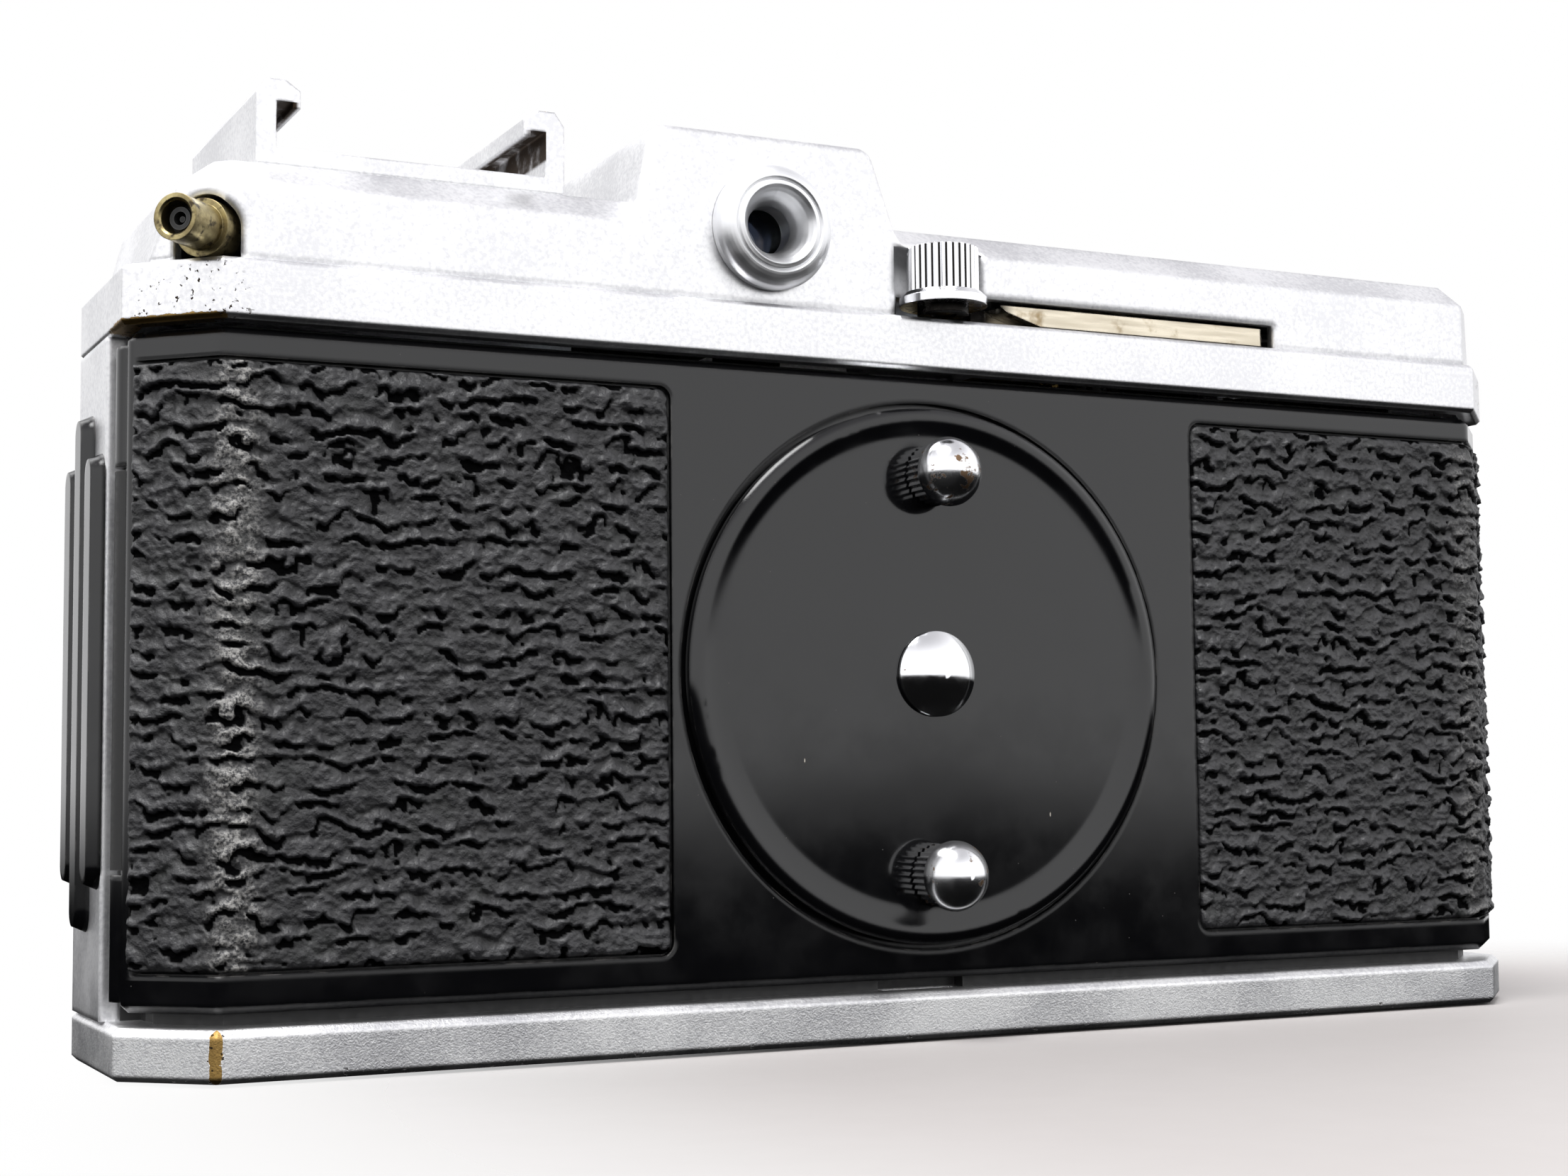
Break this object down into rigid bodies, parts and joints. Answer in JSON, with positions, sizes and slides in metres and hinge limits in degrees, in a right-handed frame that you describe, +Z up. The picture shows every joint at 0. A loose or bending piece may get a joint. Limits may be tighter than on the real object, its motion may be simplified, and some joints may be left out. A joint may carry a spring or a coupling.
{
  "type": "rangefinder camera",
  "caption": "Compact 35 mm rangefinder camera with octagonal ends, hinged black back with a round lock disc, rear thumb lever, finder hump and accessory shoe.",
  "frame": {"origin": "mouth of the tripod socket, centred on the underside of the base plate", "axes": "+Z up, +Y out of the back (the lens looks along -Y), +X towards the rewind and flash-socket end"},
  "size_m": [0.1178, 0.0574, 0.066],
  "materials": {
    "satin_chrome": "satin, worn to brass",
    "bright_chrome": "polished",
    "black_enamel": "gloss black",
    "vulcanite": "coarse pebble grain",
    "black_lacquer": "matt black",
    "brass": "aged",
    "nickel": "nickel plated",
    "spool_plastic": "matt black",
    "optical_glass": "polished",
    "mirror": "silvered"
  },
  "bodies": {
    "camera_body": {"base_plate": "satin_chrome", "tripod_bush": "brass", "base_screws": "bright_chrome", "body_casting": "black_lacquer", "film_bays": "black_lacquer", "end_plates": "satin_chrome", "end_ribs": "black_enamel", "front_leather": "vulcanite", "film_gate": "black_lacquer", "top_band": "satin_chrome", "top_housing": "satin_chrome", "accessory_shoe": "satin_chrome", "shoe_screws": "bright_chrome", "eyepiece_ring": "bright_chrome", "finder_chassis": "black_lacquer", "eyepiece_lens": "optical_glass", "beam_splitter": "optical_glass", "window_frames": "bright_chrome", "window_glass": "optical_glass", "flash_barrel": "brass", "flash_contact": "black_lacquer", "lens_flange": "bright_chrome", "shutter_housing": "bright_chrome", "shutter_face": "black_enamel", "lens_barrel": "bright_chrome", "rear_cell": "black_lacquer", "rear_element": "optical_glass", "shutter_blades": "nickel", "iris_blades": "nickel", "lever_post": "nickel", "return_spring": "nickel", "release_spring": "nickel", "hinge_pin": "bright_chrome"},
    "back_door": {"back_door": "black_enamel", "door_leather_left": "vulcanite", "door_leather_right": "vulcanite", "pressure_springs": "nickel"},
    "lock_disc": {"lock_disc": "black_enamel", "lock_pegs": "bright_chrome", "lock_screw": "bright_chrome", "lock_cam": "nickel"},
    "lock_bolt_top": {"lock_bolt_top": "nickel"},
    "lock_bolt_bottom": {"lock_bolt_bottom": "nickel"},
    "pressure_plate": {"pressure_plate": "black_lacquer"},
    "advance_lever": {"advance_arm": "nickel", "advance_knob": "bright_chrome", "lever_gear": "brass"},
    "idler": {"idler_gears": "brass"},
    "sprocket": {"film_sprocket": "spool_plastic"},
    "take_up_spool": {"take_up_spool": "spool_plastic"},
    "frame_counter": {"counter_dial": "black_lacquer"},
    "release": {"release_button": "bright_chrome"},
    "focus_ring": {"focus_ring": "bright_chrome"},
    "front_cell": {"front_cell": "bright_chrome", "front_element": "optical_glass"},
    "range_mirror": {"range_mirror": "mirror"},
    "aperture_ring": {"aperture_ring": "bright_chrome"},
    "speed_ring": {"speed_ring": "bright_chrome"},
    "rewind_key": {"rewind_key": "bright_chrome"},
    "rewind_release": {"rewind_release": "bright_chrome"}
  },
  "joints": [
    {"name": "door_hinge", "type": "hinge", "parent": "camera_body", "child": "back_door", "pos_m": [0.0564, 0.0074, 0.0265], "axis": [0, 0, -1], "range_deg": [0, 105]},
    {"name": "lock_turn", "type": "hinge", "parent": "back_door", "child": "lock_disc", "pos_m": [0, 0.014, 0.0265], "axis": [0, -1, 0], "range_deg": [0, 45]},
    {"name": "top_bolt_slide", "type": "slide", "parent": "back_door", "child": "lock_bolt_top", "axis": [0, 0, 1], "range_m": [0, 0.00202]},
    {"name": "bottom_bolt_slide", "type": "slide", "parent": "back_door", "child": "lock_bolt_bottom", "axis": [0, 0, -1], "range_m": [0, 0.00202]},
    {"name": "pressure_plate_spring", "type": "slide", "parent": "back_door", "child": "pressure_plate", "axis": [0, 1, 0], "range_m": [0, 0.0004], "stiffness_N_per_m": 400, "deforming": ["pressure_springs"]},
    {"name": "lever_swing", "type": "hinge", "parent": "camera_body", "child": "advance_lever", "pos_m": [-0.0241, 0.0033, 0.054], "axis": [0, 0, 1], "range_deg": [0, 76], "stiffness_Nm_per_rad": 0.02, "springref_deg": -17.19},
    {"name": "idler_spin", "type": "hinge", "parent": "camera_body", "child": "idler", "pos_m": [-0.0115, 0.0001, 0.051], "axis": [0, 0, 1], "range_deg": [-207.3, 1]},
    {"name": "sprocket_spin", "type": "hinge", "parent": "camera_body", "child": "sprocket", "pos_m": [-0.0241, 0.0033, 0.026], "axis": [0, 0, 1], "range_deg": [-1, 282.3]},
    {"name": "spool_spin", "type": "hinge", "parent": "camera_body", "child": "take_up_spool", "pos_m": [-0.0416, 0.0003, 0.026], "axis": [0, 0, 1], "range_deg": [-188.5, 1]},
    {"name": "counter_step", "type": "hinge", "parent": "camera_body", "child": "frame_counter", "pos_m": [-0.0416, 0.0003, 0.0575], "axis": [0, 0, 1], "range_deg": [-1, 11]},
    {"name": "release_press", "type": "slide", "parent": "camera_body", "child": "release", "axis": [0, 0, -1], "range_m": [0, 0.0018], "stiffness_N_per_m": 300, "springref_m": -0.001, "deforming": ["release_spring"]},
    {"name": "focus_turn", "type": "hinge", "parent": "camera_body", "child": "focus_ring", "pos_m": [0, -0.0307, 0.0265], "axis": [0, -1, 0], "range_deg": [0, 170]},
    {"name": "front_cell_slide", "type": "slide", "parent": "camera_body", "child": "front_cell", "axis": [0, -1, 0], "range_m": [0, 0.00151]},
    {"name": "mirror_tilt", "type": "hinge", "parent": "camera_body", "child": "range_mirror", "pos_m": [-0.014, 0.0015, 0.056], "axis": [0, 0, 1], "range_deg": [-0.1, 2.6]},
    {"name": "aperture_turn", "type": "hinge", "parent": "camera_body", "child": "aperture_ring", "pos_m": [0, -0.02, 0.0265], "axis": [0, -1, 0], "range_deg": [0, 80]},
    {"name": "speed_turn", "type": "hinge", "parent": "camera_body", "child": "speed_ring", "pos_m": [0, -0.0248, 0.0265], "axis": [0, -1, 0], "range_deg": [0, 150]},
    {"name": "rewind_turn", "type": "hinge", "parent": "camera_body", "child": "rewind_key", "pos_m": [0.0416, 0.0003, 0.003], "axis": [0, 0, 1], "continuous": true},
    {"name": "rewind_release_press", "type": "slide", "parent": "camera_body", "child": "rewind_release", "axis": [0, 0, 1], "range_m": [0, 0.0009], "stiffness_N_per_m": 200, "springref_m": -0.0005}
  ],
  "couplings": [
    {"joint": "top_bolt_slide", "follows": "lock_turn", "m_per_rad": 0.0025337},
    {"joint": "bottom_bolt_slide", "follows": "lock_turn", "m_per_rad": 0.0025337},
    {"joint": "idler_spin", "follows": "lever_swing", "ratio": -2.7143},
    {"joint": "sprocket_spin", "follows": "lever_swing", "ratio": 3.7013},
    {"joint": "spool_spin", "follows": "lever_swing", "ratio": -2.4675},
    {"joint": "counter_step", "follows": "lever_swing", "ratio": 0.13158},
    {"joint": "front_cell_slide", "follows": "focus_turn", "m_per_rad": 0.0005056},
    {"joint": "mirror_tilt", "follows": "focus_turn", "ratio": 0.014706}
  ]
}
